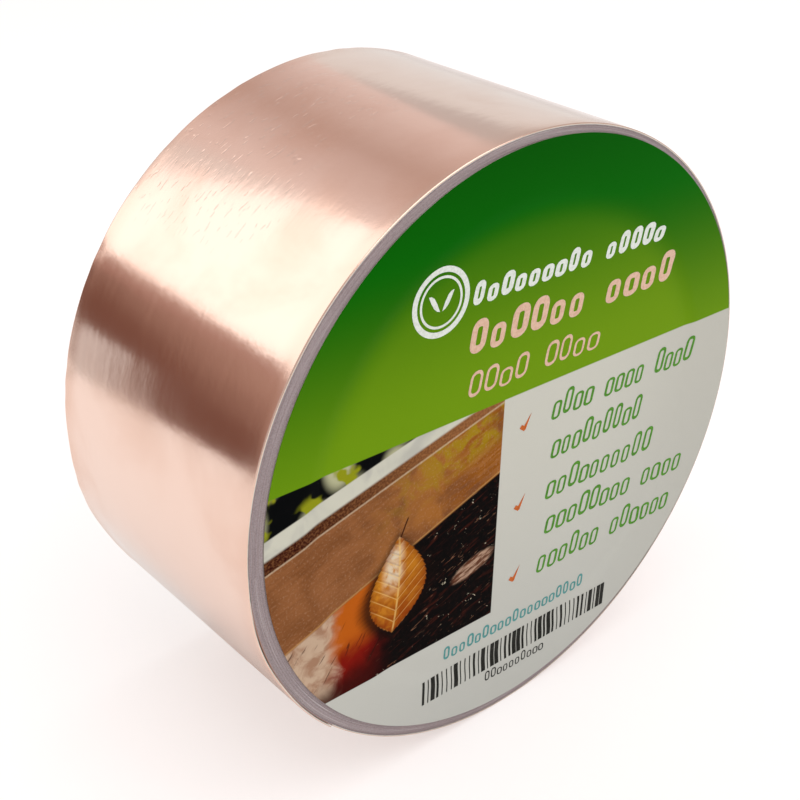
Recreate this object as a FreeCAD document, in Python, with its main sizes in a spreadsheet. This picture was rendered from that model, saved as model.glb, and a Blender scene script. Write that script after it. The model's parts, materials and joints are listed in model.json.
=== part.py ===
import FreeCAD, Part
import math
import os

import Sketcher

# Roll of liner-backed copper foil tape on a paperboard core, with a round label closing its front.
# The roll's axis is Y, the label faces -Y, +Z is up and the origin is the middle of the roll.
# Angles are measured in the XZ plane from +X towards +Z, so they run anticlockwise seen from the label.
# The tape is wound anticlockwise seen from the label, and its free end lies low on the left.

TAIL_SEGMENTS = 3
BODY_PLIES = 3
FULL_TURN = 360.0
HALF_TURN = 180.0
UPRIGHT = FreeCAD.Rotation(FreeCAD.Vector(1, 0, 0), 90)

document = FreeCAD.newDocument("copper_foil_tape_roll")

DRIVING_SIZES = [
    ("roll_diameter", 104.0, "outside of the roll at the tape's free end"),
    ("tape_width", 50.0, "width of the tape, and of the core cut to it"),
    ("bore_diameter", 76.2, "bore of the core, three inches"),
    ("inner_ply", 0.5, "thickness of the core's smooth inner ply"),
    ("body_ply", 0.9, "thickness of each ply of the core's body"),
    ("outer_ply", 0.4, "thickness of the core's outer ply"),
    ("foil_thickness", 0.05, "copper foil"),
    ("adhesive_thickness", 0.035, "adhesive under the foil"),
    ("liner_thickness", 0.115, "release paper under the adhesive"),
    ("starter_thickness", 0.1, "double-sided strip that holds the first turn"),
    ("starter_length", 24.0, "length of that strip round the core"),
    ("starter_angle", 60.0, "where the strip begins on the core, in degrees"),
    ("tail_root_angle", 180.0, "where the tape lifts off the roll, in degrees"),
    ("free_end_angle", 222.0, "where the tape ends, in degrees"),
    ("tail_root_gap", 0.12, "gap under the tail where it lifts off"),
    ("tail_bulge", 0.7, "how far the middle of the tail stands off the roll"),
    ("tail_end_gap", 0.15, "gap under the tail's free end"),
    ("bend_gap", 0.15, "gap between pieces of the tail at each bend line"),
    ("split_gap", 0.03, "gap between the adhesive and the loose end of the liner"),
    ("label_margin", 1.7, "how much smaller the label's radius is than the roll's"),
    ("label_offset", 1.1, "how far the label's centre lies to the right of the axis"),
    ("label_thickness", 0.11, "printed face of the label"),
    ("label_glue", 0.03, "adhesive behind the label"),
]

WORKED_SIZES = [
    ("roll_radius", "dims.roll_diameter / 2"),
    ("core_inner", "dims.bore_diameter / 2"),
    ("core_body", "core_inner + dims.inner_ply"),
    ("core_cover", f"core_body + {BODY_PLIES} * dims.body_ply"),
    ("core_outer", "core_cover + dims.outer_ply"),
    ("front_face", "dims.tape_width / 2"),
    ("label_radius", "roll_radius - dims.label_margin"),
    ("tape_thickness", "dims.foil_thickness + dims.adhesive_thickness + dims.liner_thickness"),
    ("tail_turn", "(dims.free_end_angle - dims.tail_root_angle) / 360"),
    ("root_radius", "roll_radius - tape_thickness * tail_turn"),
    ("root_x", "(root_radius + dims.tail_root_gap) * cos(dims.tail_root_angle * 1deg)"),
    ("root_z", "(root_radius + dims.tail_root_gap) * sin(dims.tail_root_angle * 1deg)"),
    ("tip_x", "(roll_radius + dims.tail_end_gap) * cos(dims.free_end_angle * 1deg)"),
    ("tip_z", "(roll_radius + dims.tail_end_gap) * sin(dims.free_end_angle * 1deg)"),
    ("half_chord", "sqrt(pow(tip_x - root_x; 2) + pow(tip_z - root_z; 2)) / 2"),
    ("rise", "roll_radius - sqrt(pow(roll_radius; 2) - pow(half_chord; 2)) + dims.tail_bulge"),
    ("tail_radius", "(pow(half_chord; 2) + pow(rise; 2)) / (2 * rise)"),
    ("inward_x", "(root_z - tip_z) / (2 * half_chord)"),
    ("inward_z", "(tip_x - root_x) / (2 * half_chord)"),
    ("tail_x", "(root_x + tip_x) / 2 + (tail_radius - rise) * inward_x"),
    ("tail_z", "(root_z + tip_z) / 2 + (tail_radius - rise) * inward_z"),
    ("tail_middle", "180 + atan2(inward_z; inward_x) / 1deg"),
    ("tail_half_sweep", "asin(half_chord / tail_radius) / 1deg"),
    ("bend_half_gap", "dims.bend_gap / 2 / tail_radius / pi * 180"),
    ("root_half_gap", "dims.bend_gap / 2 / root_radius / pi * 180"),
    ("starter_sweep", "dims.starter_length / core_outer / pi * 180"),
]


def make_sheets():
    """Makes the sheet of driving dimensions and the one of worked sizes, and gives the first."""
    dims = document.addObject("Spreadsheet::Sheet", "dims")
    for row, (alias, number, note) in enumerate(DRIVING_SIZES, start=1):
        dims.set(f"A{row}", note)
        dims.set(f"B{row}", str(number))
        dims.setAlias(f"B{row}", alias)
    document.recompute()
    worked = document.addObject("Spreadsheet::Sheet", "worked")
    for row, (alias, formula) in enumerate(WORKED_SIZES, start=1):
        worked.set(f"B{row}", "=" + formula)
        worked.setAlias(f"B{row}", alias)
        document.recompute()
    return dims


def worked_out(expression):
    """The number that an expression on the sheets gives."""
    result = sizes.evalExpression(expression)
    return float(getattr(result, "Value", result))


def turned(radius, degrees, centre=(0.0, 0.0)):
    """The point at this radius and angle about a centre, in a sketch's own plane."""
    angle = math.radians(degrees)
    return FreeCAD.Vector(centre[0] + radius * math.cos(angle), centre[1] + radius * math.sin(angle), 0)


def new_body(name):
    """An empty body, and a sketch on its upright plane whose normal points out of the label's side."""
    body = document.addObject("PartDesign::Body", name)
    body.Label = name
    sketch = body.newObject("Sketcher::SketchObject", name + "_outline")
    plane = [feature for feature in body.Origin.OriginFeatures if feature.Role == "XZ_Plane"][0]
    sketch.AttachmentSupport = [(plane, "")]
    sketch.MapMode = "FlatFace"
    return body, sketch


def bound(sketch, kind, *what, to):
    """Adds a dimension to a sketch and binds it to an expression on the sheets."""
    start = worked_out(to)
    if kind == "Angle":
        start = math.radians(start)
    index = sketch.addConstraint(Sketcher.Constraint(kind, *what, start))
    sketch.setExpression(f"Constraints[{index}]", to)


def pad_both_ways(body, sketch):
    """Extrudes an outline to the tape's full width, half of it each side of the middle."""
    pad = body.newObject("PartDesign::Pad", body.Label + "_width")
    pad.Profile = sketch
    pad.SideType = "Symmetric"
    pad.setExpression("Length", "dims.tape_width")
    return pad


def add_circle(sketch, diameter, centre_x=None):
    """A circle of a bound diameter, on the origin or a bound distance to the right of it."""
    across = worked_out(centre_x) if centre_x else 0.0
    shape = Part.Circle(FreeCAD.Vector(across, 0, 0), FreeCAD.Vector(0, 0, 1), worked_out(diameter) / 2)
    circle = sketch.addGeometry(shape, False)
    if centre_x:
        bound(sketch, "DistanceX", -1, 1, circle, 3, to=centre_x)
        sketch.addConstraint(Sketcher.Constraint("PointOnObject", circle, 3, -1))
    else:
        sketch.addConstraint(Sketcher.Constraint("Coincident", circle, 3, -1, 1))
    bound(sketch, "Diameter", circle, to=diameter)


def ring(name, inner_radius, outer_radius):
    """A full ring of the tape's width, such as one ply of the core."""
    body, sketch = new_body(name)
    add_circle(sketch, f"2 * ({inner_radius})")
    add_circle(sketch, f"2 * ({outer_radius})")
    pad_both_ways(body, sketch)
    return body


def disc(name, near_face, thickness):
    """A disc of the label's size, from a distance in front of the roll's middle outwards."""
    body, sketch = new_body(name)
    sketch.setExpression("AttachmentOffset.Base.z", near_face)
    add_circle(sketch, "2 * worked.label_radius", centre_x="dims.label_offset")
    pad = body.newObject("PartDesign::Pad", name + "_thickness")
    pad.Profile = sketch
    pad.setExpression("Length", thickness)
    return body


def curved_strip(name, inner_radius, outer_radius, begins, ends, centre=("0", "0")):
    """A strip bent to a round of two bound radii about a centre, between two bound angles."""
    body, sketch = new_body(name)
    middle = (worked_out(centre[0]), worked_out(centre[1]))
    low = worked_out(begins)
    high = worked_out(ends)
    radii = [worked_out(inner_radius), worked_out(outer_radius)]
    up = FreeCAD.Vector(0, 0, 1)
    arcs = []
    for radius in radii:
        circle = Part.Circle(turned(0, 0, middle), up, radius)
        arc = Part.ArcOfCircle(circle, math.radians(low), math.radians(high))
        arcs.append(sketch.addGeometry(arc, False))
    edges = []
    for angle in (low, high):
        line = Part.LineSegment(turned(radii[0], angle, middle), turned(radii[1], angle, middle))
        edges.append(sketch.addGeometry(line, False))
    sketch.addConstraint(Sketcher.Constraint("Coincident", arcs[0], 3, arcs[1], 3))
    for arc_end, edge in ((1, edges[0]), (2, edges[1])):
        sketch.addConstraint(Sketcher.Constraint("Coincident", arcs[0], arc_end, edge, 1))
        sketch.addConstraint(Sketcher.Constraint("Coincident", arcs[1], arc_end, edge, 2))
        sketch.addConstraint(Sketcher.Constraint("PointOnObject", arcs[0], 3, edge))
    bound(sketch, "Radius", arcs[0], to=inner_radius)
    bound(sketch, "Radius", arcs[1], to=outer_radius)
    if centre == ("0", "0"):
        sketch.addConstraint(Sketcher.Constraint("Coincident", arcs[0], 3, -1, 1))
    else:
        bound(sketch, "DistanceX", -1, 1, arcs[0], 3, to=centre[0])
        bound(sketch, "DistanceY", -1, 1, arcs[0], 3, to=centre[1])
    bound(sketch, "Angle", edges[0], to=begins)
    bound(sketch, "Angle", edges[1], to=ends)
    pad_both_ways(body, sketch)
    return body


def spiral_surface(start_radius, stop_angle):
    """One turn of a wound surface, as arcs about two centres a little apart, which grow by a thickness.

    The turn begins at the free end's direction, and stops at an angle up to a full turn further on.
    """
    seam = worked_out("dims.free_end_angle")
    growth = worked_out("worked.tape_thickness")
    opposite = seam + HALF_TURN
    centres = [turned(growth / 4, opposite), turned(growth / 4, seam)]
    radii = [start_radius + growth / 4, start_radius + 3 * growth / 4]
    spans = [(seam, opposite), (opposite, stop_angle)]
    up = FreeCAD.Vector(0, 0, 1)
    arcs = []
    for centre, radius, (begins, ends) in zip(centres, radii, spans):
        circle = Part.Circle(centre, up, radius)
        arcs.append(Part.ArcOfCircle(circle, math.radians(begins), math.radians(ends)))
    return arcs


def end_line(first_arc, second_arc, which):
    """The straight edge that joins two arcs at their starts or at their ends."""
    return Part.LineSegment(getattr(first_arc, which), getattr(second_arc, which)).toShape()


def upright_solid(name, face):
    """A solid of the tape's width from a face drawn flat, stood up so that its axis is Y."""
    width = worked_out("dims.tape_width")
    face.translate(FreeCAD.Vector(0, 0, -width / 2))
    feature = document.addObject("Part::Feature", name)
    feature.Label = name
    feature.Shape = face.extrude(FreeCAD.Vector(0, 0, width))
    feature.Placement = FreeCAD.Placement(FreeCAD.Vector(), UPRIGHT)
    return feature


def last_turn_layer(name, depth, thickness):
    """One layer of the last turn, this deep under the tape's outer surface, up to where the tail lifts."""
    outer_start = worked_out("worked.roll_radius - worked.tape_thickness") - depth
    stop_angle = worked_out("dims.tail_root_angle - worked.root_half_gap") + FULL_TURN
    outside = spiral_surface(outer_start, stop_angle)
    inside = spiral_surface(outer_start - thickness, stop_angle)
    edges = [arc.toShape() for arc in outside + inside]
    edges.append(end_line(outside[0], inside[0], "StartPoint"))
    edges.append(end_line(outside[1], inside[1], "EndPoint"))
    return upright_solid(name, Part.Face(Part.Wire(Part.__sortEdges__(edges))))


def wound_turns(name):
    """The turns under the last one, a close winding that ends in a step at the free end's direction."""
    outer_start = worked_out("worked.roll_radius - 2 * worked.tape_thickness")
    outside = spiral_surface(outer_start, worked_out("dims.free_end_angle") + FULL_TURN)
    step = Part.LineSegment(outside[1].EndPoint, outside[0].StartPoint).toShape()
    outline = Part.Wire(Part.__sortEdges__([outside[0].toShape(), outside[1].toShape(), step]))
    core_radius = worked_out("worked.core_outer")
    hole = Part.Face(Part.Wire(Part.makeCircle(core_radius)))
    begins = worked_out("dims.starter_angle")
    sweep = worked_out("worked.starter_sweep")
    over_strip = core_radius + worked_out("dims.starter_thickness")
    pocket = Part.Face(Part.Wire(Part.__sortEdges__(sector_edges(over_strip, begins, begins + sweep))))
    return upright_solid(name, Part.Face(outline).cut(hole.fuse(pocket)).Faces[0])


def sector_edges(radius, begins, ends):
    """The edges of a sector of a circle about the origin."""
    up = FreeCAD.Vector(0, 0, 1)
    circle = Part.Circle(FreeCAD.Vector(), up, radius)
    arc = Part.ArcOfCircle(circle, math.radians(begins), math.radians(ends))
    first = Part.LineSegment(FreeCAD.Vector(), arc.StartPoint)
    last = Part.LineSegment(arc.EndPoint, FreeCAD.Vector())
    return [first.toShape(), arc.toShape(), last.toShape()]


def make_core():
    """The spiral-wound paperboard core, ply by ply from the bore outwards, and the starter strip on it."""
    plies = [ring("core_inner_ply", "worked.core_inner", "worked.core_body")]
    for number in range(BODY_PLIES):
        inner = f"worked.core_body + {number} * dims.body_ply"
        plies.append(ring(f"core_body_ply_{number + 1}", inner, f"{inner} + dims.body_ply"))
    plies.append(ring("core_outer_ply", "worked.core_cover", "worked.core_outer"))
    strip = curved_strip(
        "starter_strip",
        "worked.core_outer",
        "worked.core_outer + dims.starter_thickness",
        "dims.starter_angle",
        "dims.starter_angle + worked.starter_sweep",
    )
    return plies + [strip]


def make_winding():
    """The close winding, and the last turn over it as its three layers."""
    foil = worked_out("dims.foil_thickness")
    adhesive = worked_out("dims.adhesive_thickness")
    liner = worked_out("dims.liner_thickness")
    return [
        wound_turns("wound_turns"),
        last_turn_layer("last_turn_foil", 0.0, foil),
        last_turn_layer("last_turn_adhesive", foil, adhesive),
        last_turn_layer("last_turn_liner", foil + adhesive, liner),
    ]


def bend_line(number):
    """The angle about the tail's centre of one of its bend lines, counted from the root."""
    return f"worked.tail_middle + (2 * {number} / {TAIL_SEGMENTS} - 1) * worked.tail_half_sweep"


def tail_layer(name, number, depth, thickness):
    """One layer of one segment of the tail, between two bend lines, at a depth under the foil's surface."""
    begins = f"{bend_line(number)} + worked.bend_half_gap"
    ends = bend_line(number + 1)
    if number + 1 < TAIL_SEGMENTS:
        ends += " - worked.bend_half_gap"
    outer = f"worked.tail_radius - ({depth})"
    centre = ("worked.tail_x", "worked.tail_z")
    return curved_strip(name, f"{outer} - {thickness}", outer, begins, ends, centre)


def make_tail():
    """The lifted tail, cut into segments at its bend lines, with the liner of its last segment loose."""
    below_foil = "dims.foil_thickness"
    below_adhesive = "dims.foil_thickness + dims.adhesive_thickness"
    made = []
    for number in range(TAIL_SEGMENTS):
        is_end = number + 1 == TAIL_SEGMENTS
        made.append(tail_layer(f"tail_foil_{number + 1}", number, "0", "dims.foil_thickness"))
        made.append(tail_layer(f"tail_adhesive_{number + 1}", number, below_foil, "dims.adhesive_thickness"))
        liner_name = "liner_flap" if is_end else f"tail_liner_{number + 1}"
        liner_depth = below_adhesive + (" + dims.split_gap" if is_end else "")
        made.append(tail_layer(liner_name, number, liner_depth, "dims.liner_thickness"))
    return made


def make_label():
    """The round label over the roll's front: its adhesive, then its printed face."""
    return [
        disc("label_adhesive", "worked.front_face", "dims.label_glue"),
        disc("label", "worked.front_face + dims.label_glue", "dims.label_thickness"),
    ]


sizes = make_sheets()
subparts = make_core() + make_winding() + make_tail() + make_label()
document.recompute()

for item in document.Objects:
    if "Invalid" in item.State or "Error" in item.State:
        raise RuntimeError(f"{item.Label} failed to rebuild: {item.State}")
for subpart in subparts:
    if subpart.Shape.isNull() or not subpart.Shape.isValid() or len(subpart.Shape.Solids) != 1:
        raise RuntimeError(f"{subpart.Label} isn't one valid solid")

os.makedirs("parts", exist_ok=True)
for subpart in subparts:
    subpart.Shape.exportStep(f"parts/{subpart.Label}.step")

for bend in range(TAIL_SEGMENTS):
    pivot = turned(
        worked_out("worked.tail_radius"),
        worked_out(bend_line(bend)),
        (worked_out("worked.tail_x"), worked_out("worked.tail_z")),
    )
    print(f"bend line {bend + 1} on the foil's surface: x {pivot.x:.4f}, z {pivot.y:.4f}")
wound_area = math.pi * (worked_out("worked.roll_radius") ** 2 - worked_out("worked.core_outer") ** 2)
print(f"tape length about {wound_area / worked_out('worked.tape_thickness') / 1000:.2f} m")
print(f"{len(subparts)} solids written")
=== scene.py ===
"""Looks of a copper foil tape roll: a board core, the wound tape, its lifted tail and a round label.

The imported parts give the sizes. Each sub-assembly below builds its own meshes round the roll's axis, +Y,
with the label towards -Y, and dresses them in the procedural finishes of the first half.
"""

import json
import logging
import math
import random
from dataclasses import dataclass, field
from enum import Enum

import bmesh
import bpy
import numpy as np
from mathutils import Matrix, Vector


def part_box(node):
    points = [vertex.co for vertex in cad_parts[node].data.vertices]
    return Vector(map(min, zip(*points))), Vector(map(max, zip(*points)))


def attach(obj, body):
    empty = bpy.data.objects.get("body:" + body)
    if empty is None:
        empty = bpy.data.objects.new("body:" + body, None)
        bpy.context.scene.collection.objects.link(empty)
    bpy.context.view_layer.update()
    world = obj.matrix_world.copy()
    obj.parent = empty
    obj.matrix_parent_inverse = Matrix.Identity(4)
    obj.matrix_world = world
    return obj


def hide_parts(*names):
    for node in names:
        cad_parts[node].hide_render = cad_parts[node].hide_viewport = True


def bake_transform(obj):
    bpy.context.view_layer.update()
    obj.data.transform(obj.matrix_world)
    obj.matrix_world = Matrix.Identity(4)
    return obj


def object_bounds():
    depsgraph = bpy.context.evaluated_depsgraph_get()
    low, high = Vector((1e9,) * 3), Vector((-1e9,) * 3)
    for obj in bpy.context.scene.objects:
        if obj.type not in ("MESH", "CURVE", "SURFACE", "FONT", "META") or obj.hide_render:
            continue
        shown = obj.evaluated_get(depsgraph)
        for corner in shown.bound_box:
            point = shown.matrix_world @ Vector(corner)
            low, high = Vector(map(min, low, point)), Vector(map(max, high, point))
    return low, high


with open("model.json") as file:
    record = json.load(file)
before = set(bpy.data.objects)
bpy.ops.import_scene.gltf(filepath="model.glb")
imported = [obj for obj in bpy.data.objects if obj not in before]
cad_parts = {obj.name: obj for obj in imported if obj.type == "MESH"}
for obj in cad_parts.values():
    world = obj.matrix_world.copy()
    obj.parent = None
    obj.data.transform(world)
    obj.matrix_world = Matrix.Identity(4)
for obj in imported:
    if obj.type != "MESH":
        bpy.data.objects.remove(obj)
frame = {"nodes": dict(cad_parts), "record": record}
cad_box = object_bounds()

MM = 0.001
CREASE = math.radians(35.0)
DIP_START = 1.1 * MM
DIP_RUN = 3.2 * MM
INK_FILM = 0.01 * MM
log = logging.getLogger("copper_foil_tape_roll")


# ------------------------------------------------------------------ sockets, trees and meshes


def linear(tone: str) -> tuple[float, float, float, float]:
    """Turn a "#rrggbb" tone into scene-linear RGBA.

    Args:
        tone: the display tone.

    Returns:
        Red, green, blue and an alpha of one.
    """
    shown = [int(tone[i : i + 2], 16) / 255 for i in (1, 3, 5)]
    return (*(c / 12.92 if c < 0.04045 else ((c + 0.055) / 1.055) ** 2.4 for c in shown), 1.0)


class Value:
    """A number socket that can stand in a Python expression; each operation adds one Math node."""

    def __init__(self, tree: "Tree", socket: bpy.types.NodeSocket) -> None:
        """Wrap a socket of a tree."""
        self.tree, self.socket = tree, socket

    def math(self, operation: str, *others: object) -> "Value":
        """Add a Math node.

        Args:
            operation: the node's operation.
            others: its further inputs, numbers or values.

        Returns:
            The node's result.
        """
        terms = dict(enumerate((self, *others)))
        return self.tree.value("ShaderNodeMath", {"operation": operation}, terms)

    def __add__(self, other: object) -> "Value":
        """Sum."""
        return self.math("ADD", other)

    def __sub__(self, other: object) -> "Value":
        """Difference."""
        return self.math("SUBTRACT", other)

    def __rsub__(self, other: object) -> "Value":
        """Difference with the number first."""
        return self.tree.value("ShaderNodeMath", {"operation": "SUBTRACT"}, {0: other, 1: self})

    def __mul__(self, other: object) -> "Value":
        """Product."""
        return self.math("MULTIPLY", other)

    def __truediv__(self, other: object) -> "Value":
        """Quotient."""
        return self.math("DIVIDE", other)

    __radd__, __rmul__ = __add__, __mul__

    def rise(self, low: float, high: float) -> "Value":
        """Ease from 0 at low to 1 at high."""
        settings = {"interpolation_type": "SMOOTHSTEP"}
        return self.tree.value("ShaderNodeMapRange", settings, {0: self, 1: low, 2: high})

    def band(self, low: float, high: float, soft: float) -> "Value":
        """Return 1 between low and high, with soft edges, and 0 outside."""
        return self.rise(low - soft, low + soft) * (1 - self.rise(high - soft, high + soft))


class Tree:
    """A node tree, of a material or of Geometry Nodes, filled through one method."""

    def __init__(self, tree: bpy.types.NodeTree) -> None:
        """Empty the tree and keep it."""
        self.tree = tree
        tree.nodes.clear()

    def feed(self, socket: bpy.types.NodeSocket, given: object) -> None:
        """Link a value or a socket into a socket, or set a constant on it."""
        if isinstance(given, Value):
            given = given.socket
        if isinstance(given, bpy.types.NodeSocket):
            self.tree.links.new(given, socket)
        else:
            socket.default_value = given

    def add(self, kind: str, settings: dict | None = None, inputs: dict | None = None) -> bpy.types.Node:
        """Add a node.

        Args:
            kind: the node's type.
            settings: its properties, set first.
            inputs: values or links by socket name or number.

        Returns:
            The node.
        """
        node = self.tree.nodes.new(kind)
        for name, setting in (settings or {}).items():
            setattr(node, name, setting)
        for name, given in (inputs or {}).items():
            self.feed(node.inputs[name], given)
        return node

    def value(
        self, kind: str, settings: dict | None = None, inputs: dict | None = None, out: int = 0
    ) -> Value:
        """Add a node and return one of its outputs as a value."""
        return Value(self, self.add(kind, settings, inputs).outputs[out])

    def split(self, vector: bpy.types.NodeSocket) -> tuple[Value, Value, Value]:
        """Return a vector's three numbers."""
        parts = self.add("ShaderNodeSeparateXYZ", inputs={0: vector})
        return tuple(Value(self, socket) for socket in parts.outputs)

    def vector(self, x: object, y: object, z: object) -> bpy.types.NodeSocket:
        """Return three numbers as a vector."""
        return self.add("ShaderNodeCombineXYZ", inputs={0: x, 1: y, 2: z}).outputs[0]

    def noise(self, at: object, scale: float, detail: float = 2.0, distortion: float = 0.0) -> Value:
        """Return fractal noise, about 0.3 to 0.7, at a vector."""
        inputs = {"Vector": at, "Scale": scale, "Detail": detail, "Distortion": distortion}
        return self.value("ShaderNodeTexNoise", inputs=inputs)

    def blend(self, share: object, under: object, over: object) -> bpy.types.NodeSocket:
        """Mix two tones, written "#rrggbb" or given as sockets, by a share."""
        tones = [linear(tone) if isinstance(tone, str) else tone for tone in (under, over)]
        inputs = {0: share, 6: tones[0], 7: tones[1]}
        return self.add("ShaderNodeMix", {"data_type": "RGBA"}, inputs).outputs[2]

    def coats(self, under: object, *layers: tuple[object, object]) -> bpy.types.NodeSocket:
        """Lay tones over a first one in turn, each given with its share."""
        for share, over in layers:
            under = self.blend(share, under, over)
        return under

    def bump(self, height: Value) -> bpy.types.NodeSocket:
        """Return the normal of a relief whose height is in millimetres."""
        inputs = {"Strength": 1.0, "Distance": MM, "Height": height}
        return self.add("ShaderNodeBump", inputs=inputs).outputs[0]

    def close(self, shader: bpy.types.Node) -> None:
        """End a material's tree with a shader."""
        self.add("ShaderNodeOutputMaterial", inputs={"Surface": shader.outputs[0]})


def new_material(name: str) -> tuple[bpy.types.Material, Tree]:
    """Return a new material and its empty tree."""
    made = bpy.data.materials.new(name)
    made.use_nodes = True
    return made, Tree(made.node_tree)


@dataclass(frozen=True)
class Finish:
    """A procedural finish. A kind of finish says in surface() what feeds the shader."""

    name: str

    def surface(self, tree: Tree) -> dict[str, object]:
        """Return what each socket of the shader gets."""
        raise NotImplementedError

    def material(self) -> bpy.types.Material:
        """Return the finish's material, made at its first use."""
        called = self.name + "_finish"
        made = bpy.data.materials.get(called)
        if made is None:
            made, tree = new_material(called)
            tree.close(tree.add("ShaderNodeBsdfPrincipled", inputs=self.surface(tree)))
        return made


def local(tree: Tree) -> bpy.types.NodeSocket:
    """Return the object coordinates."""
    return tree.add("ShaderNodeTexCoord").outputs["Object"]


def round_axis(tree: Tree) -> tuple[Value, Value, Value]:
    """Return the distance from the roll's axis, the angle round it in turns, and the place along it."""
    x, y, z = tree.split(local(tree))
    return (x * x + z * z).math("SQRT"), z.math("ARCTAN2", x) / (2 * math.pi), y


def stand(name: str, data: bpy.types.ID) -> bpy.types.Object:
    """Put an object with this mesh, light or camera in the scene."""
    made = bpy.data.objects.new(name, data)
    bpy.context.scene.collection.objects.link(made)
    return made


def solid_mesh(name: str, points: np.ndarray, faces: list, finish: Finish) -> bpy.types.Object:
    """Make a closed mesh object with outward faces, smooth but for its creases.

    Args:
        name: the piece's name.
        points: its vertices, in metres.
        faces: the vertex numbers of each face.
        finish: what it is dressed in.

    Returns:
        The object, at the origin.
    """
    mesh = bpy.data.meshes.new(name)
    mesh.from_pydata(np.asarray(points).tolist(), [], [list(map(int, face)) for face in faces])
    return shown(name, mesh, finish)


def shown(name: str, mesh: bpy.types.Mesh, finish: Finish) -> bpy.types.Object:
    """Turn a mesh's faces outwards, shade it smooth but for its creases and put it in the scene."""
    work = bmesh.new()
    work.from_mesh(mesh)
    bmesh.ops.recalc_face_normals(work, faces=work.faces)
    work.to_mesh(mesh)
    work.free()
    mesh.polygons.foreach_set("use_smooth", [True] * len(mesh.polygons))
    mesh.set_sharp_from_angle(angle=CREASE)
    mesh.materials.clear()
    mesh.materials.append(finish.material())
    return stand(name, mesh)


def tube_faces(rows: int, around: int, closed: bool) -> list[tuple[int, ...]]:
    """Join sections of the same number of points.

    Args:
        rows: how many sections there are.
        around: the points of a section, which is a closed loop of two equal sides.
        closed: whether the last section joins the first; if not, both ends are capped.

    Returns:
        The faces.
    """
    faces = []
    for row in range(rows if closed else rows - 1):
        here, after = row * around, (row + 1) % rows * around
        for k in range(around):
            n = (k + 1) % around
            faces.append((here + k, after + k, after + n, here + n))
    if not closed:
        for start in (0, (rows - 1) * around):
            for k in range(around // 2 - 1):
                faces.append((start + k, start + k + 1, start + around - 2 - k, start + around - 1 - k))
    return faces


# ------------------------------------------------------------------ finishes


@dataclass(frozen=True)
class CopperFoil(Finish):
    """Bright rolled copper: fine streaks along the tape, a few smudges and soft hand creases."""

    bright: str = "#eccdbe"
    deep: str = "#d8a88f"
    gloss: float = 0.12
    streak_height: float = 0.001
    crease_height: float = 0.012
    tongue_height: float = 0.03
    nick_depth: float = 0.02
    peel_height: float = 0.008
    edge_from: float = 20.5 * MM
    edge_to: float = 24.8 * MM
    nicks_from: float = 86 * MM
    nicks_to: float = 122 * MM

    def surface(self, tree: Tree) -> dict[str, object]:
        """Return the foil's sockets; the tape's own map runs along it and across it in metres."""
        along, across, _ = tree.split(tree.add("ShaderNodeUVMap", {"uv_map": "tape"}).outputs[0])
        lay = tree.vector(along, across, 0.0)
        streaks = tree.noise(tree.vector(along * 45, across * 3200, 0.0), 1.0, 3.0)
        fine = tree.noise(tree.vector(along * 260, across * 9000, 3.0), 1.0, 2.0)
        smudge = tree.noise(lay, 55.0, 4.0, 0.4).rise(0.45, 0.8)
        creases = tree.noise(tree.vector(along * 130, across * 60, 7.0), 1.0, 3.0, 0.8)
        edge = across.math("ABSOLUTE").rise(self.edge_from, self.edge_to)
        tone = tree.blend(smudge * 0.4 + edge * 0.2, self.bright, self.deep)
        tongues = tree.noise(tree.vector(along * 60, across * 260, 11.0), 1.0, 3.0, 0.5)
        slivers = tree.vector(along * 420 - across * 260, across * 1500, 13.0)
        nicks = tree.noise(slivers, 1.0, 1.0).rise(0.64, 0.7)
        nicks = nicks * along.band(self.nicks_from, self.nicks_to, 6 * MM) * across.rise(-12 * MM, 0.0)
        peel = tree.noise(lay, 800.0, 3.0)
        rub = (streaks + fine * 0.35) * (self.streak_height * (1 + edge * 2.0))
        relief = tongues * self.tongue_height + rub + creases * self.crease_height
        relief = relief - nicks * self.nick_depth + peel * self.peel_height
        return {
            "Base Color": tone,
            "Metallic": 1.0,
            "Roughness": self.gloss + smudge * 0.08 + streaks * 0.05 + edge * 0.05,
            "Normal": tree.bump(relief),
        }


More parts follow.
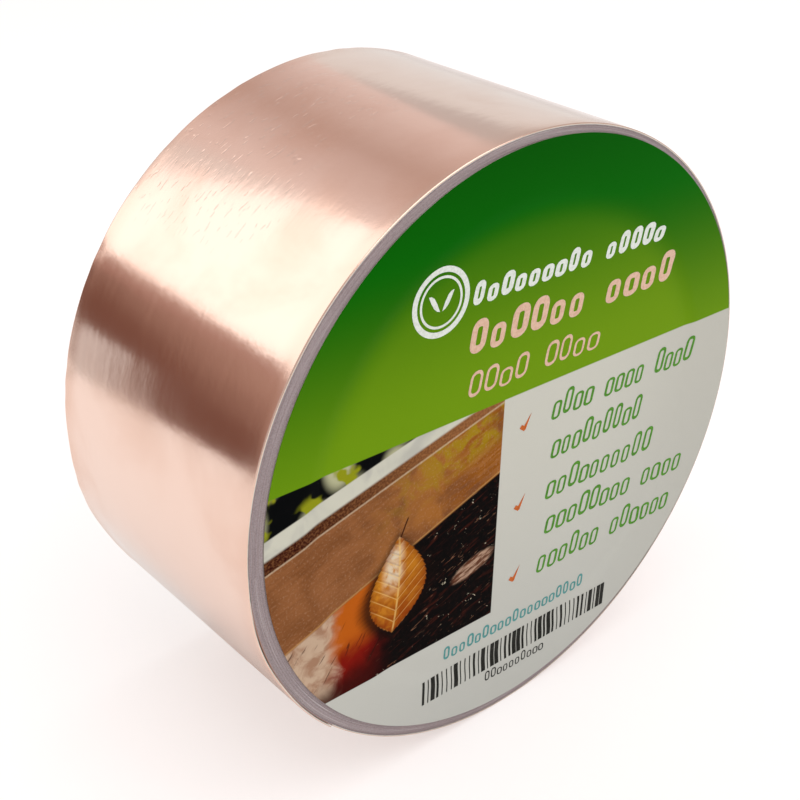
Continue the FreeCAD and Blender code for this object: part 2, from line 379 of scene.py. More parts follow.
@dataclass(frozen=True)
class WoundEdge(Finish):
    """The cut edge of the wound tape: pale release paper between thin copper lines, turn upon turn."""

    free_radius: float
    free_direction: float
    pitch: float
    half_width: float
    paper: str = "#a5989b"
    shade: str = "#7f7377"
    pale: str = "#d9d3d2"
    copper: str = "#c08a72"
    foil_share: float = 0.25
    rim_inner: float = 0.5 * MM
    rim_outer: float = 0.35 * MM

    def surface(self, tree: Tree) -> dict[str, object]:
        """Return the sockets, with the layer worked out from the winding's spiral."""
        radius, turn, along = round_axis(tree)
        depth = (self.free_radius - radius) / self.pitch + turn - self.free_direction / 360
        foil = 1 - depth.math("FRACT").rise(self.foil_share - 0.08, self.foil_share + 0.08)
        rings = tree.noise(tree.vector(radius * 5200, turn * 9, 0.0), 1.0, 3.0)
        pale = tree.noise(tree.vector(radius * 9000, turn * 14, 5.0), 1.0, 1.0).rise(0.64, 0.72)
        specks = tree.noise(local(tree), 5200.0, 2.0)
        outer = radius.rise(self.free_radius - 2.2 * self.pitch, self.free_radius - 1.2 * self.pitch)
        off = along.math("ABSOLUTE")
        side = 1 - off.rise(self.half_width - self.rim_inner, self.half_width - self.rim_outer)
        mottle = rings.rise(0.35, 0.68) * 0.5 + specks.rise(0.35, 0.65) * 0.5
        shine = foil * 0.35 + outer * 0.6
        tone = tree.coats(
            self.shade,
            (mottle, self.paper),
            (pale * 0.55, self.pale),
            (shine, self.copper),
            (side, CopperFoil.bright),
        )
        return {
            "Base Color": tone,
            "Metallic": (foil * 0.25 + outer * 0.5).math("MAXIMUM", side),
            "Roughness": 0.62 - foil * 0.2 - side * 0.3,
            "Normal": tree.bump(rings * 0.02 + specks * 0.01),
        }


@dataclass(frozen=True)
class Paper(Finish):
    """Thin paper or board: fibres, faint mottling and, on the core, the helical seams of its plies."""

    pale: str
    dark: str
    gloss: float = 0.7
    fibre: float = 900.0
    seam_lead: float = 0.0
    relief: float = 0.02

    def surface(self, tree: Tree) -> dict[str, object]:
        """Return the paper's sockets."""
        at = local(tree)
        radius, turn, along = round_axis(tree)
        fibres = tree.noise(at, self.fibre, 5.0, 0.4)
        patches = tree.noise(at, self.fibre / 12, 3.0)
        lay = tree.noise(tree.vector(turn * 60, along * self.fibre * 2, radius * self.fibre * 2), 1.0, 3.0)
        mottle = fibres * 0.45 + patches * 0.25 + lay * 0.3
        height = fibres * self.relief + lay * self.relief
        tone = tree.blend(mottle.rise(0.36, 0.64), self.dark, self.pale)
        if self.seam_lead:
            helix = (turn + along / self.seam_lead + 0.3).math("FRACT") - 0.5
            seam = 1 - helix.math("ABSOLUTE").rise(0.001, 0.005)
            tone = tree.blend(seam * 0.6, tone, self.dark)
            height = height - seam * 0.12
        return {"Base Color": tone, "Roughness": self.gloss + fibres * 0.12, "Normal": tree.bump(height)}


@dataclass(frozen=True)
class Adhesive(Finish):
    """Clear tacky glue: honey-toned, glossy, with fine bubbles and dragged ridges."""

    thin: str = "#d8b48c"
    thick: str = "#b98a5e"

    def surface(self, tree: Tree) -> dict[str, object]:
        """Return the glue's sockets."""
        at = local(tree)
        bubbles = tree.value("ShaderNodeTexVoronoi", inputs={"Vector": at, "Scale": 1400.0})
        drag = tree.noise(at, 320.0, 4.0, 1.2)
        tone = tree.blend(drag.rise(0.35, 0.65), self.thin, self.thick)
        return {
            "Base Color": tone,
            "Roughness": 0.18 + drag * 0.2,
            "Normal": tree.bump(drag * 0.03 + bubbles * 0.01),
        }


@dataclass(frozen=True)
class Ink(Finish):
    """Printed ink with a little grain."""

    tone: str
    grain: str

    def surface(self, tree: Tree) -> dict[str, object]:
        """Return the ink's sockets."""
        speckle = tree.noise(local(tree), 2600.0, 3.0)
        return {
            "Base Color": tree.blend(speckle.rise(0.35, 0.7), self.tone, self.grain),
            "Roughness": 0.36 + speckle * 0.12,
            "Specular IOR Level": 0.08,
            "Normal": tree.bump(speckle * 0.004),
        }


@dataclass(frozen=True)
class LabelPrint(Finish):
    """The label's face: a green field over a white one, and a garden picture of boards, soil and a leaf."""

    tilt: float = -1.7
    field_edge: float = 10.05
    picture_right: float = -3.8
    picture_foot: float = -30.5
    crisp: float = 0.08
    board_line: tuple[float, float, float] = (-46.3, -17.6, 0.345)
    strip_line: tuple[float, float, float] = (-49.1, -2.0, 0.262)
    plank_line: tuple[float, float, float] = (-49.4, 0.3, 0.25)
    garden_line: tuple[float, float, float] = (-49.2, 3.6, 0.235)
    root_middle: tuple[float, float] = (-8.7, -18.6)
    root_half: tuple[float, float] = (5.4, 1.9)
    leaf_middle: tuple[float, float] = (-24.6, -14.8)
    leaf_half: tuple[float, float] = (5.6, 8.9)
    stalk_foot: tuple[float, float] = (-24.1, -6.3)

    def above(self, u: Value, v: Value, line: tuple[float, float, float]) -> Value:
        """Return how far a spot lies above a straight line.

        Args:
            u: the spot's place across, in millimetres.
            v: the spot's height.
            line: a place on the line, across and up, and its rise over run.

        Returns:
            The height above the line, in millimetres.
        """
        return v - (u - line[0]) * line[2] - line[1]

    def grain_lay(self, tree: Tree, u: Value, v: Value, scale: tuple[float, ...]) -> bpy.types.NodeSocket:
        """Return a spot scaled along the boards and across them, for grain that runs with them."""
        slope = self.board_line[2]
        return tree.vector((u + v * slope) * scale[0], (v - u * slope) * scale[1], scale[2])

    def soil(self, tree: Tree, u: Value, v: Value) -> bpy.types.NodeSocket:
        """Return the dark soil: streaks of bark along the bed, a few crumbs and one pale root."""
        at = tree.vector(u, v, 0.0)
        lay = self.grain_lay(tree, u, v, (0.22, 1.1, 2.0))
        tone = tree.coats(
            "#020000",
            (tree.noise(at, 1.3, 4.0).rise(0.45, 0.8), "#170503"),
            (tree.noise(lay, 1.0, 5.0, 0.6).rise(0.54, 0.7) * 0.6, "#45170c"),
            (tree.noise(lay, 1.7, 4.0, 0.9).rise(0.64, 0.72) * 0.6, "#94694f"),
            (tree.noise(at, 0.95, 3.0, 1.5).rise(0.7, 0.74), "#c9bda4"),
        )
        across, up = u - self.root_middle[0], v - self.root_middle[1]
        a, b = (across + up * 0.3) / self.root_half[0], (up - across * 0.3) / self.root_half[1]
        root = (a * a + b * b + tree.noise(at, 0.6, 3.0) * 0.5).math("SQRT")
        pale = tree.blend(tree.noise(lay, 2.2, 3.0).rise(0.4, 0.65), "#5d3524", "#b3917a")
        return tree.blend(1 - root.rise(0.85, 1.15), tone, pale)

    def litter(self, tree: Tree, u: Value, v: Value) -> bpy.types.NodeSocket:
        """Return the fallen leaves at the lower left: cream, then rust, then dark."""
        at = tree.vector(u, v, 0.0)
        drift = (tree.noise(at, 0.25, 3.0, 0.8) - 0.5) * 8
        low = (u + 36.0) * 0.25 - v + drift * 0.6
        cream = tree.blend(tree.noise(at, 0.4, 4.0, 0.6).rise(0.4, 0.65) * 0.6, "#c3a68d", "#8a5231")
        rust = tree.blend(low.rise(20.0, 25.5), "#b95a10", "#7c0f03")
        veins = tree.noise(tree.vector(u * 0.9 - v * 0.7, (v + u) * 0.12, 5.0), 1.0, 3.0, 0.3)
        return tree.coats(
            cream,
            ((u + drift).rise(-39.5, -35.0), rust),
            (low.rise(25.0, 30.0) * 0.9, "#300402"),
            (veins.rise(0.62, 0.7) * 0.7, "#3a1206"),
        )

    def boards(self, tree: Tree, u: Value, v: Value, under: bpy.types.NodeSocket) -> bpy.types.NodeSocket:
        """Lay the bed's board, a dark strip and a pale plank over what lies under them."""
        at = tree.vector(u, v, 0.0)
        grain = tree.noise(self.grain_lay(tree, u, v, (0.16, 1.5, 0.0)), 1.0, 5.0, 0.3)
        blotch = tree.noise(at, 0.13, 3.0, 0.8)
        fine = tree.noise(at, 2.4, 4.0)
        low = self.above(u, v, self.board_line)
        strip = self.above(u, v, self.strip_line)
        plank = self.above(u, v, self.plank_line)
        gold = low.rise(5.0, 9.0) * u.rise(-32.0, -10.0) * tree.noise(at, 0.25, 3.0, 1.0).rise(0.4, 0.62)
        board = tree.coats(
            "#784826",
            (grain.rise(0.3, 0.7) * 0.35 + blotch.rise(0.3, 0.7) * 0.65, "#955f39"),
            (u.rise(-36.0, -16.0) * blotch.rise(0.35, 0.6) * 0.7, "#a86a2c"),
            (u.rise(-24.0, -6.0) * grain.rise(0.4, 0.6) * 0.8, "#8a4c08"),
            (gold * 0.8, "#a08410"),
            (fine.rise(0.5, 0.8) * 0.25, "#c9a486"),
        )
        worn = fine.rise(0.35, 0.75) * 0.5 + u.rise(-46.0, -8.0) * 0.7
        return tree.coats(
            under,
            (low.rise(-0.25, 0.25), board),
            (low.band(0.1, 0.35, 0.2) * 0.6, "#c99a5c"),
            (strip.rise(-0.2, 0.2), tree.blend(worn, "#350c04", "#96623a")),
            (strip.band(-0.25, 0.05, 0.15) * (0.3 + fine * 0.6), "#cdb89c"),
            (plank.rise(-0.3, 0.3), tree.blend(blotch.rise(0.35, 0.6), "#bcb9ae", "#cecbbb")),
        )

    def leaf(self, tree: Tree, u: Value, v: Value, under: bpy.types.NodeSocket) -> bpy.types.NodeSocket:
        """Lay one pointed autumn leaf, with its midrib, veins, stalk and shadow, over what lies under it."""
        at = tree.vector(u, v, 0.0)
        across, up = u - self.leaf_middle[0], v - self.leaf_middle[1]
        b = up / self.leaf_half[1]
        a = (across - up * 0.06 + (b * b - 0.4) * 0.7) / self.leaf_half[0]
        off = a.math("ABSOLUTE")
        teeth = (b * 10 + off * 2).math("FRACT") * 0.05
        over = off + teeth - (1 - b * b) * (1 - b * 0.32)
        veins = (b * 4.5 - off * 2.2).math("FRACT")
        ribs = veins.band(0.42, 0.5, 0.05) + (1 - off.rise(0.015, 0.05))
        mottle = tree.noise(at, 0.5, 4.0, 0.6)
        tone = tree.coats(
            "#94400a",
            (b.rise(-0.9, 0.6) * 0.6 + mottle.rise(0.35, 0.65) * 0.4, "#dd9528"),
            (a.rise(-0.1, 0.15) * 0.45, "#8f3c00"),
            ((a + 0.22).band(-0.3, 0.3, 0.2) * b.rise(-0.3, 0.3) * mottle.rise(0.3, 0.55), "#dcc8ac"),
            (ribs.math("MINIMUM", 1.0) * 0.55, "#e9bf72"),
            (veins.band(0.55, 0.7, 0.1) * 0.3, "#7a3304"),
            (over.rise(-0.3, 0.0) * 0.55, "#7d2f02"),
        )
        shade = 1 - (over - b.rise(0.8, -0.4) * 0.3).rise(-0.2, 0.35)
        stem = u - self.stalk_foot[0] - (v - self.stalk_foot[1]) * 0.45
        stalk = stem.band(-0.16, 0.16, 0.1) * v.band(-7.2, -3.4, 0.2)
        coats = ((shade * 0.85, "#0d0301"), (stalk, "#3b1a0a"), (1 - over.rise(-0.03, 0.03), tone))
        return tree.coats(under, *coats)

    def picture(self, tree: Tree, u: Value, v: Value) -> bpy.types.NodeSocket:
        """Paint the garden picture: soil, litter, boards, a garden behind them and a leaf.

        Args:
            tree: the material's tree.
            u: the place across, in millimetres.
            v: the height, in millimetres.

        Returns:
            The picture's colour.
        """
        at = tree.vector(u, v, 0.0)
        left = 1 - (u + tree.noise(at, 0.3, 3.0) * 6).rise(-29.0, -22.0)
        low = 1 - (v + u * 0.3).rise(-24.0, -22.0) * u.rise(-30.0, -26.0)
        ground = tree.blend(left * low, self.soil(tree, u, v), self.litter(tree, u, v))
        tone = self.boards(tree, u, v, ground)
        spots = {"Vector": tree.vector(u, v * 0.7, 0.0), "Scale": 0.15, "Randomness": 0.9}
        petals = tree.value("ShaderNodeTexVoronoi", inputs=spots)
        leaves = tree.noise(at, 0.25, 2.0).rise(0.52, 0.6) * (1 - petals.rise(0.5, 0.7))
        garden = tree.coats("#010203", (1 - petals.rise(0.3, 0.55), "#b4b28e"), (leaves, "#8f9216"))
        back = self.above(u, v, self.garden_line)
        return self.leaf(tree, u, v, tree.blend(back.rise(-0.15, 0.15), tone, garden))

    def surface(self, tree: Tree) -> dict[str, object]:
        """Return the label's sockets."""
        x, _, z = tree.split(local(tree))
        lean = math.radians(self.tilt)
        u = (x * math.cos(lean) + z * math.sin(lean)) / MM
        v = (z * math.cos(lean) - x * math.sin(lean)) / MM
        grain = tree.noise(tree.vector(u, v, 0.0), 6.0, 3.0)
        # Painted sheen: the green is lighter inside the core's circle, where the sagging label catches light,
        # and darker outside it. The green also darkens towards the top, partly the print's own gradient and
        # partly painted shade where no sheen falls.
        sheen_ring = (u * u + v * v).math("SQRT").rise(36.0, 43.5)
        fall = (v - 8.0) / 46 + sheen_ring * 0.2
        green = tree.coats(
            "#71960e",
            (fall.rise(0.05, 0.88), "#026000"),
            ((fall - 0.85) * 3, "#004c00"),
            (grain.rise(0.35, 0.7) * 0.1, "#1c8a04"),
        )
        # Painted shade on the white field: lighter towards the top and greyer towards the lower right, with a
        # little grain.
        top_light_and_grain = v.rise(-50.0, 10.0) * 0.7 + grain.rise(0.3, 0.7) * 0.2
        white = tree.coats("#bebdb7", (top_light_and_grain, "#d0cdc1"), (u.rise(14.0, 50.0) * 0.6, "#bab7ae"))
        right, foot, top = u - self.picture_right, v - self.picture_foot, v - self.field_edge
        panel = (1 - right.rise(-self.crisp, self.crisp)) * foot.rise(-self.crisp, self.crisp)
        tone = tree.coats(white, (panel, self.picture(tree, u, v)), (top.rise(-0.1, 0.1), green))
        return {
            "Base Color": tone,
            "Roughness": 0.4 + grain * 0.1,
            "Specular IOR Level": 0.02,
            "Normal": tree.bump(grain * 0.0035),
        }


@dataclass(frozen=True)
class Tabletop(Finish):
    """A plain pale floor with the least mottling."""

    tone: str = "#ffffff"
    shade: str = "#fafafa"

    def surface(self, tree: Tree) -> dict[str, object]:
        """Return the floor's sockets."""
        drift = tree.noise(local(tree), 3.0, 2.0)
        return {"Base Color": tree.blend(drift, self.tone, self.shade), "Roughness": 0.85}


# ------------------------------------------------------------------ the roll's own geometry


@dataclass
class Roll:
    """The sizes that every sub-assembly shares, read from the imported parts."""

    tape: float = 0.2 * MM
    foil: float = 0.05 * MM
    adhesive: float = 0.035 * MM
    free_direction: float = 222.0
    root_direction: float = 180.0
    shoulder: float = 0.12 * MM
    shoulder_width: float = 0.25 * MM
    ripple: float = 0.04 * MM
    core_dip: float = 0.3 * MM
    crinkle: float = 0.09 * MM
    wave_count: int = 26
    seed: int = 11
    waves: list = field(init=False)

    def __post_init__(self) -> None:
        """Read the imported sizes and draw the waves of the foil's ripple."""
        low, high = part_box("wound_turns")
        self.half_width = (high.y - low.y) / 2
        kept = self.tape * (self.free_direction - self.root_direction) / 360
        self.free_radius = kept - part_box("last_turn_foil")[0].x
        self.core_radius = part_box("core_outer_ply")[1].x
        bore = next(m for m in frame["record"]["mounts"] if m["name"] == "core_bore")
        self.bore_radius = bore["dims"]["r_mm"] * MM
        draw = random.Random(self.seed)
        self.waves = []
        for _ in range(self.wave_count):
            long, cross = draw.uniform(3.0, 26.0), draw.uniform(0.0, 2.4)
            shift, swell = draw.uniform(0, 6.28), draw.uniform(0, 6.28)
            self.waves.append((long, cross, shift, swell, draw.uniform(0.3, 1.0) / long**0.6))

    def radius(self, direction: np.ndarray) -> np.ndarray:
        """Return the tape's outer radius at directions in degrees."""
        return self.free_radius - self.tape * (self.free_direction - direction) / 360

    def lift(self, direction: np.ndarray, y: np.ndarray) -> np.ndarray:
        """Return how far the tape stands off its path: ripples, a crinkled back rim and rounded shoulders.

        Args:
            direction: directions in degrees, one row each.
            y: places across the tape.

        Returns:
            The lift in metres, for each row and place.
        """
        turn = np.radians(direction)[:, None]
        side = (y / self.half_width)[None, :]
        swing = 0.0
        for long, cross, shift, swell, size in self.waves:
            run = np.sin(long * turn + cross * side * 3.1 + shift)
            swing = swing + size * run * np.cos(cross * side * 2.0 + swell)
        ripple = self.ripple * (1 + swing / 2.2) / 2
        rim = np.clip((side - 0.93) / 0.07, 0, 1) ** 2
        folds = np.sin(41 * turn + 2 * np.sin(17 * turn)) * np.sin(7 * turn)
        crinkle = self.crinkle * rim * (0.5 + 0.5 * folds)
        past = np.abs(y) - self.half_width + self.shoulder_width
        inset = np.clip(past / self.shoulder_width, 0, 1)[None, :]
        return ripple + crinkle - self.shoulder * (1 - np.sqrt(1 - 0.96 * inset**2)) / 0.8

    def dip(self, radius: np.ndarray) -> np.ndarray:
        """Return how far the face over the core lies below the tape's edge."""
        t = np.clip((self.core_radius + DIP_START - radius) / DIP_RUN, 0, 1)
        return self.core_dip * t * t * (3 - 2 * t)


@dataclass
class Course:
    """A run of the tape's outer surface: places and outward directions in the XZ plane."""

    direction: np.ndarray
    radius: np.ndarray

    def __post_init__(self) -> None:
        """Work out the points, the outward normals and the length along the run."""
        turn = np.radians(self.direction)
        self.points = np.stack([self.radius * np.cos(turn), self.radius * np.sin(turn)], 1)
        ahead = np.gradient(self.points, axis=0)
        ahead /= np.linalg.norm(ahead, axis=1)[:, None]
        self.outward = np.stack([ahead[:, 1], -ahead[:, 0]], 1)
        steps = np.linalg.norm(np.diff(self.points, axis=0), axis=1)
        before = math.radians(self.direction[0]) * self.radius[0]
        self.along = np.concatenate([[0.0], np.cumsum(steps)]) + before


def stations(start: float, end: float, step: float) -> np.ndarray:
    """Return directions from start to end in even steps, with one very short step at each end."""
    even = np.linspace(start, end, max(3, round((end - start) / step) + 1))
    return np.concatenate([[start, start + 0.03], even[1:-1], [end - 0.03, end]])


@dataclass
class Layer:
    """One layer of the tape: its depths below the outer surface and how far its edges stand in."""

    top: float
    bottom: float
    inset: float
    finish: Finish
    slot: str


def layer_strip(name: str, roll: Roll, course: Course, layer: Layer, across: int = 40) -> bpy.types.Object:
    """Build one layer of the tape along a course as a closed strip.

    Args:
        name: the piece's name.
        roll: the shared sizes.
        course: the outer surface to follow.
        layer: which layer.
        across: how many steps there are across the tape.

    Returns:
        The strip, with its own map along and across the tape.
    """
    flat = roll.half_width - roll.shoulder_width
    bend = roll.shoulder_width * np.sin(np.radians([25, 50, 68, 80, 90]))
    middle = np.linspace(-1, 1, across + 1 - 2 * len(bend)) * flat
    y = np.concatenate([-flat - bend[::-1], middle, flat + bend])
    y = y * (1 - layer.inset / roll.half_width)
    lift = roll.lift(course.direction, y)
    sides = []
    for depth in (layer.top, layer.bottom):
        place = course.points[:, None, :] + course.outward[:, None, :] * (lift - depth)[..., None]
        wide = np.broadcast_to(y[None, :], lift.shape)
        sides.append(np.stack([place[..., 0], wide, place[..., 1]], -1))
    points = np.concatenate([sides[0], sides[1][:, ::-1]], 1)
    rows, around = points.shape[:2]
    made = solid_mesh(name, points.reshape(-1, 3), tube_faces(rows, around, False), layer.finish)
    u = np.repeat(course.along, around)
    v = np.tile(np.concatenate([y, y[::-1]]), rows)
    corners = np.empty(len(made.data.loops), int)
    made.data.loops.foreach_get("vertex_index", corners)
    sheet = made.data.uv_layers.new(name="tape")
    sheet.data.foreach_set("uv", np.stack([u[corners], v[corners]], 1).ravel())
    return made


def place(piece: bpy.types.Object, slot: str, nodes: tuple[str, ...], body: str = "roll") -> None:
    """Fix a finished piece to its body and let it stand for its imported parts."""
    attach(piece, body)
    settle(piece, nodes)


def settle(piece: bpy.types.Object, nodes: tuple[str, ...]) -> None:
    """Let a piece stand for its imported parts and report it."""
    if nodes:
        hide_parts(*nodes)
    faces, packed = len(piece.data.polygons), ", ".join(nodes) or "nothing"
    log.info("%s: %d faces, stands for %s", piece.name, faces, packed)


# ------------------------------------------------------------------ geometry node recipes


class Recipe(Tree):
    """A Geometry Nodes tree with named inputs."""

    def __init__(self, name: str, inputs: dict[str, str]) -> None:
        """Start a tree.

        Args:
            name: the tree's name.
            inputs: each input's name and its kind of socket.
        """
        group = bpy.data.node_groups.new(name, "GeometryNodeTree")
        super().__init__(group)
        for label, kind in inputs.items():
            group.interface.new_socket(label, in_out="INPUT", socket_type="NodeSocket" + kind)
        group.interface.new_socket("Mesh", in_out="OUTPUT", socket_type="NodeSocketGeometry")
        self.given = self.add("NodeGroupInput").outputs

    def number(self, label: str) -> Value:
        """Return one of the named inputs as a value."""
        return Value(self, self.given[label])

    def quad(self, width: Value, height: Value) -> bpy.types.NodeSocket:
        """Return a rectangle as a curve."""
        return self.add("GeometryNodeCurvePrimitiveQuadrilateral", inputs={0: width, 1: height}).outputs[0]

    def sweep(self, path: object, section: object, capped: bool = False) -> bpy.types.NodeSocket:
        """Sweep a section along a path and return the mesh."""
        inputs = {0: path, 1: section, "Fill Caps": capped}
        return self.add("GeometryNodeCurveToMesh", inputs=inputs).outputs[0]

    def draw(self, seed: object) -> Value:
        """Return a random number from 0 to 1 for each point."""
        inputs = {2: 0.0, 3: 1.0, "Seed": seed}
        return self.value("FunctionNodeRandomValue", {"data_type": "FLOAT"}, inputs, out=1)

    def copies(self, points: object, piece: object, size: object, lift: object) -> bpy.types.NodeSocket:
        """Set sized copies of a piece on points, moved by a lift."""
        inputs = {"Points": points, "Instance": piece, "Scale": size}
        placed = self.add("GeometryNodeInstanceOnPoints", inputs=inputs).outputs[0]
        moved = self.add("GeometryNodeTranslateInstances", inputs={0: placed, "Translation": lift})
        return moved.outputs[0]

    def done(self, mesh: bpy.types.NodeSocket, finish: bpy.types.NodeSocket) -> None:
        """End the tree: realize its instances, set their material and hand the mesh out."""
        real = self.add("GeometryNodeRealizeInstances", inputs={0: mesh})
        coat = {"Geometry": real.outputs[0], "Material": finish}
        dressed = self.add("GeometryNodeSetMaterial", inputs=coat)
        self.add("NodeGroupOutput", inputs={0: dressed.outputs[0]})

    def make(self, name: str, values: dict[str, object]) -> bpy.types.Mesh:
        """Run the tree once.

        Args:
            name: the mesh's name.
            values: each input's value.

        Returns:
            The plain mesh it gives.
        """
        carrier = stand(name + "_carrier", bpy.data.meshes.new(name + "_carrier"))
        modifier = carrier.modifiers.new(name, "NODES")
        modifier.node_group = self.tree
        for item in self.tree.interface.items_tree:
            if item.in_out == "INPUT":
                modifier[item.identifier] = values[item.name]
        shaped = carrier.evaluated_get(bpy.context.evaluated_depsgraph_get())
        mesh = bpy.data.meshes.new_from_object(shaped)
        carrier.modifiers.clear()
        bpy.data.objects.remove(carrier)
        mesh.name = name
        return mesh


def winding_recipe() -> Recipe:
    """Return the tree that winds a strip of tape round the core, its cut edges wandering a little."""
    radii = ("Start Radius", "End Radius", "Core Radius")
    sizes = dict.fromkeys(("Turns", *radii, "Strip", "Width", "Core Dip", "Wander", "Lip", "Seed"), "Float")
    tree = Recipe("wound_strip", {"Steps": "Int", **sizes, "Start": "Vector", "Finish": "Material"})
    path = tree.add(
        "GeometryNodeCurveSpiral",
        inputs={
            "Resolution": tree.given["Steps"],
            "Rotations": tree.given["Turns"],
            "Start Radius": tree.given["Start Radius"],
            "End Radius": tree.given["End Radius"],
            "Height": 0.0,
        },
    )
    section = tree.quad(tree.number("Strip"), tree.number("Width"))
    wound = tree.sweep(path.outputs[0], section, capped=True)
    x, y, z = tree.split(tree.add("GeometryNodeInputPosition").outputs[0])
    radius = (x * x + y * y).math("SQRT")
    start, end = tree.number("Start Radius"), tree.number("End Radius")
    turn = (radius - start) / (end - start) * tree.number("Turns")
    spot = {"W": turn * 1.37 + tree.number("Seed"), "Scale": 1.0}
    drift = tree.value("ShaderNodeTexNoise", {"noise_dimensions": "1D"}, spot)
    near_core = (tree.number("Core Radius") + DIP_START - radius) / DIP_RUN
    outermost = (turn - tree.number("Turns") + 2.2).rise(0.0, 0.4)
    front = z.math("GREATER_THAN", 0.0)
    recess = drift.rise(0.3, 0.7) * tree.number("Wander") + outermost * tree.number("Lip")
    recess = recess + near_core.rise(0.0, 1.0) * tree.number("Core Dip") * front
    z = z - z.math("SIGN") * recess
    moved = tree.add("GeometryNodeSetPosition", inputs={0: wound, "Position": tree.vector(x, y, z)})
    turned = tree.add("GeometryNodeTransform", inputs={0: moved.outputs[0], "Rotation": tree.given["Start"]})
    tree.done(turned.outputs[0], tree.given["Finish"])
    return tree


def row_recipe() -> Recipe:
    """Return the tree that sets a row of rounded outlines in words, like lettering too far off to read."""
    sizes = ("Step", "Width", "Height", "Stroke", "Thick", "Slant", "Word")
    kinds = {"Count": "Int", **dict.fromkeys(sizes, "Float"), "Seed": "Int", "Finish": "Material"}
    tree = Recipe("print_row", kinds)
    step = tree.vector(tree.number("Step"), 0.0, 0.0)
    line = tree.add("GeometryNodeMeshLine", inputs={"Count": tree.given["Count"], "Offset": step})
    order = tree.value("GeometryNodeInputIndex")
    word = tree.number("Word")
    space = order.math("MODULO", word).math("COMPARE", word - 1, 0.1)
    gaps = {0: line.outputs[0], "Selection": space}
    words = tree.add("GeometryNodeDeleteGeometry", {"domain": "POINT"}, gaps)
    width, height = tree.number("Width"), tree.number("Height")
    rounding = {"Curve": tree.quad(width, height), "Count": 3, "Radius": width * 0.4, "Limit Radius": True}
    soft = tree.add("GeometryNodeFilletCurve", {"mode": "POLY"}, rounding)
    spacing = {"Curve": soft.outputs[0], "Length": 0.35 * MM}
    fine = tree.add("GeometryNodeResampleCurve", {"mode": "LENGTH"}, spacing)
    glyph = tree.sweep(fine.outputs[0], tree.quad(tree.number("Stroke"), tree.number("Thick")))
    broad = 0.8 + tree.draw(tree.number("Seed") + 3) * 0.2
    tall = 0.72 + tree.draw(tree.number("Seed") + 7).rise(0.6, 0.61) * 0.28
    lift = tree.vector(width * 0.5, height * tall * 0.5, 0.0)
    raised = tree.copies(words.outputs[0], glyph, tree.vector(broad, tall, 1.0), lift)
    real = tree.add("GeometryNodeRealizeInstances", inputs={0: raised})
    x, y, z = tree.split(tree.add("GeometryNodeInputPosition").outputs[0])
    lean = tree.vector(x + y * tree.number("Slant"), y, z)
    slanted = tree.add("GeometryNodeSetPosition", inputs={0: real.outputs[0], "Position": lean})
    tree.done(slanted.outputs[0], tree.given["Finish"])
    return tree


def bars_recipe() -> Recipe:
    """Return the tree that sets a row of plain bars of random widths."""
    sizes = dict.fromkeys(("Step", "Height", "Thick"), "Float")
    tree = Recipe("print_bars", {"Count": "Int", **sizes, "Seed": "Int", "Finish": "Material"})
    step, height = tree.number("Step"), tree.number("Height")
    spacing = {"Count": tree.given["Count"], "Offset": tree.vector(step, 0.0, 0.0)}
    line = tree.add("GeometryNodeMeshLine", inputs=spacing)
    size = tree.vector(step, height, tree.number("Thick"))
    bar = tree.add("GeometryNodeMeshCube", inputs={"Size": size, "Vertices Y": 14})
    draw = tree.draw(tree.given["Seed"])
    wide = 0.22 + draw.rise(0.4, 0.42) * 0.26 + draw.rise(0.75, 0.77) * 0.4
    lift = tree.vector(0.0, height * 0.5, 0.0)
    raised = tree.copies(line.outputs[0], bar.outputs[0], tree.vector(wide, 1.0, 1.0), lift)
    tree.done(raised, tree.given["Finish"])
    return tree


# ------------------------------------------------------------------ sub-assemblies


@dataclass
class Core:
    """The board tube: a smooth lining, three grey plies, a brown wrap and the strip that starts the tape."""

    roll: Roll
    steps: int = 240
    ease: float = 0.08 * MM

    lining: Finish = Paper("core_lining", "#cfc6b4", "#a89c88", 0.6, 700.0, 0.085)
    board: Finish = Paper("core_board", "#b8a88f", "#8e7c64", 0.8, 1300.0, 0.0, 0.05)
    strip: Finish = Paper("starter_tape", "#d7c9a6", "#b8a377", 0.45, 500.0)

    def ply(self, name: str, inner: float, outer: float, finish: Finish) -> bpy.types.Object:
        """Build one ply as a ring with eased edges, its front end set back under the label.

        Args:
            name: the piece's name.
            inner: its inner radius.
            outer: its outer radius.
            finish: its finish.

        Returns:
            The ring.
        """
        half, ease = self.roll.half_width, min(self.ease, (outer - inner) / 4)
        front = -half + self.roll.core_dip
        draw = random.Random(round(outer / MM * 10))
        profile = [(inner, front + ease), (inner + ease, front), (outer - ease, front), (outer, front + ease)]
        profile += [(outer, half - ease), (outer - ease, half), (inner + ease, half), (inner, half - ease)]
        points = []
        for k in range(self.steps):
            turn = 2 * math.pi * k / self.steps
            rough = draw.uniform(0, 0.03) * MM
            for r, y in profile:
                points.append((r * math.cos(turn), y - math.copysign(rough, y), r * math.sin(turn)))
        return solid_mesh(name, np.array(points), tube_faces(self.steps, len(profile), True), finish)

    def build(self) -> None:
        """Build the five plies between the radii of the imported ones, and dress the starter strip."""
        inner = self.roll.bore_radius
        for node in ("core_inner_ply", *(f"core_body_ply_{k}" for k in (1, 2, 3)), "core_outer_ply"):
            finish = self.lining if node == "core_inner_ply" else self.board
            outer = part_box(node)[1].x
            place(self.ply("visual_" + node, inner, outer, finish), finish.name, (node,))
            inner = outer
        frame["nodes"]["starter_strip"].data.materials.clear()
        frame["nodes"]["starter_strip"].data.materials.append(self.strip.material())
        log.info("starter_strip keeps its packed shape")


